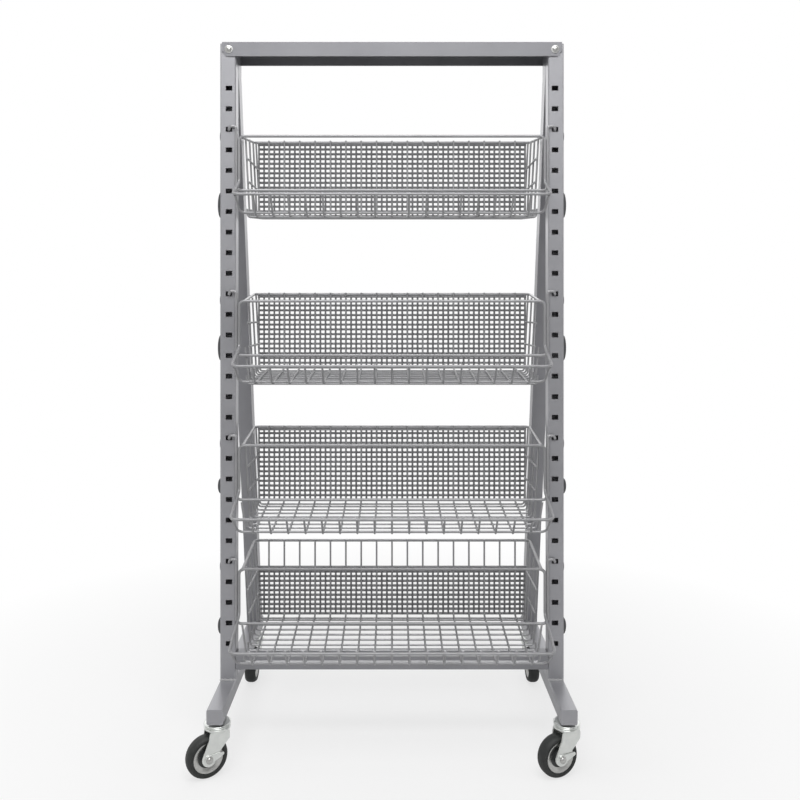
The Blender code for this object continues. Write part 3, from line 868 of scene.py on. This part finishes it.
# %% Four casters
for place, x, y, degrees in places:
    turn = about_z(degrees)
    stem = np.array([centre_x + x, front_y + y, 0.0])
    wheel_pieces(place, stem + turn @ (trail, 0, wheel_radius), turn)
    race_piece(place, stem)
    fork_piece(place, stem, turn)
    axle_piece(place, stem, turn, place.startswith("front"))
    if place.startswith("front"):
        lever_piece(place, stem, turn)
    print("caster", place, "stem at", stem.round(4))


# %% [markdown]
# ## Floor, light and camera
# The photograph is a studio shot on white. Strong lamps could burn a grey floor out to white, but
# then the rack would be too bright as well. So the floor and the world are told apart by the kind
# of ray: to the camera, and to reflections that look away from the front, they are white. To the
# light they are a plain pale floor and a dim sky, so the rack keeps its colour and its shadow.

# %% Floor and background
corners = [(-6, -4, 0), (6, -4, 0), (6, 14, 0), (-6, 14, 0)]
floor_mesh = mesh_from("studio_floor", corners, [(0, 1, 2, 3)])
floor_obj = bpy.data.objects.new("studio_floor", floor_mesh)
bpy.context.scene.collection.objects.link(floor_obj)
print("floor", floor_obj.name)


# %% White to the camera and to reflections
def rays_that_see_white(tree, toward_back, low, high):
    """1 for camera and transmission rays, and for glossy rays that go to the back.

    The glossy share rises in a straight line as toward_back goes from low to high.
    """
    ray = add_node(tree, "ShaderNodeLightPath")
    clear = add_node(tree, "ShaderNodeMath", {"operation": "MAXIMUM"},
                     {0: ray.outputs["Is Camera Ray"], 1: ray.outputs["Is Transmission Ray"]})
    behind = add_node(tree, "ShaderNodeMapRange", {"From Min": low, "From Max": high},
                      {"Value": toward_back})
    mirrored = add_node(tree, "ShaderNodeMath", {"operation": "MULTIPLY"},
                        {0: ray.outputs["Is Glossy Ray"], 1: behind.outputs[0]})
    return add_node(tree, "ShaderNodeMath", {"operation": "MAXIMUM"},
                    {0: clear.outputs[0], 1: mirrored.outputs[0]})


# %% Floor material
floor_material, tree, out = new_material("white_studio_floor")
place = add_node(tree, "ShaderNodeTexCoord").outputs["Object"]
depth = add_node(tree, "ShaderNodeSeparateXYZ", None, {0: place}).outputs["Y"]
seen = rays_that_see_white(tree, depth, -0.2, 1.2)
far = add_node(tree, "ShaderNodeVectorMath", {"operation": "LENGTH"}, {0: place})
# Near the rack three tenths of the floor keep its own pale colour, which carries the shadow.
# From 1.3 m out all of it is white to the camera.
fade = {"From Min": 0.45, "From Max": 1.3, "To Min": 0.70, "To Max": 1.0}
fade = add_node(tree, "ShaderNodeMapRange", fade, {"Value": far.outputs["Value"]})
share = add_node(tree, "ShaderNodeMath", {"operation": "MULTIPLY"},
                 {0: seen.outputs[0], 1: fade.outputs[0]})
pale = add_node(tree, "ShaderNodeBsdfDiffuse", {"Color": (0.86, 0.86, 0.86, 1)})
white = add_node(tree, "ShaderNodeEmission", {"Color": (1, 1, 1, 1), "Strength": 1.0})
mixed = add_node(tree, "ShaderNodeMixShader", None,
                 {0: share.outputs[0], 1: pale.outputs[0], 2: white.outputs[0]})
tree.links.new(mixed.outputs[0], out.inputs[0])
floor_mesh.materials.append(floor_material)

# %% World
world = bpy.data.worlds.new("white_studio")
bpy.context.scene.world = world
world.use_nodes = True
tree = world.node_tree
tree.nodes.clear()
toward = add_node(tree, "ShaderNodeTexCoord").outputs["Generated"]
toward = add_node(tree, "ShaderNodeSeparateXYZ", None, {0: toward}).outputs["Y"]
seen = rays_that_see_white(tree, toward, -0.1, 0.4)
# The sky lights the rack at 0.20, and is white at 1.0 where it is seen.
level = add_node(tree, "ShaderNodeMapRange", {"To Min": 0.20, "To Max": 1.0},
                 {"Value": seen.outputs[0]})
sky = add_node(tree, "ShaderNodeBackground", {"Color": (1, 1, 1, 1)},
               {"Strength": level.outputs[0]})
tree.links.new(sky.outputs[0], add_node(tree, "ShaderNodeOutputWorld").inputs[0])
print("world", world.name)

# %% [markdown]
# ## Lamps and camera
# A product studio lights such a rack with large softboxes. A high key in front shades the tubes
# from light at the top to dark at the foot, a wide wall of light behind the camera shows in the
# coats, and weaker lamps above, beside and behind open the shadows. The camera stands square to
# the front at the middle of the rack's height and is shifted, not tilted, so the uprights stay
# parallel.


# %% Lamps
def softbox(name, spot, aim, width, height, power):
    """A rectangular lamp that faces a point."""
    lamp = bpy.data.lights.new(name, "AREA")
    lamp.shape = "RECTANGLE"
    lamp.size = width
    lamp.size_y = height
    lamp.energy = power
    obj = bpy.data.objects.new(name, lamp)
    bpy.context.scene.collection.objects.link(obj)
    obj.location = spot
    away = Vector(np.subtract(spot, aim).tolist())
    obj.rotation_euler = away.to_track_quat("Z", "Y").to_euler()


# Name, where it stands, what it faces, width, height and watts.
lamps = (
    ("key", (0, -1.3, 2.65), (0, 0, 1.15), 2.0, 0.8, 30),
    ("front_wall", (0, -3.4, 2.9), (0, 0, 2.4), 3.4, 3.2, 42),
    ("overhead", (-0.3, 0.3, 2.8), (0, 0.1, 0), 1.6, 1.0, 15),
    ("left_strip", (-2.2, -0.9, 1.2), (0, 0, 0.8), 0.8, 2.4, 7),
    ("right_strip", (2.2, -0.9, 1.2), (0, 0, 0.8), 0.8, 2.4, 5),
    ("back_fill", (0, 3.0, 2.0), (0, 0, 0.7), 2.4, 1.6, 14),
)
for lamp in lamps:
    softbox(*lamp)
print(len(lamps), "softboxes")

# %% Camera
# Lens, shift and place give the photograph's square frame.
camera = bpy.data.cameras.new("camera")
camera.lens = 37.5
camera.sensor_width = 36.0
camera.shift_x = 0.010
camera.shift_y = -0.1125
camera_obj = bpy.data.objects.new("camera", camera)
bpy.context.scene.collection.objects.link(camera_obj)
camera_obj.location = (centre_x, front_y - 1.6, 0.836)
camera_obj.rotation_euler = (np.pi / 2, 0, 0)
bpy.context.scene.camera = camera_obj
bpy.context.scene.view_settings.view_transform = "Standard"
print("camera", camera.lens, "mm")
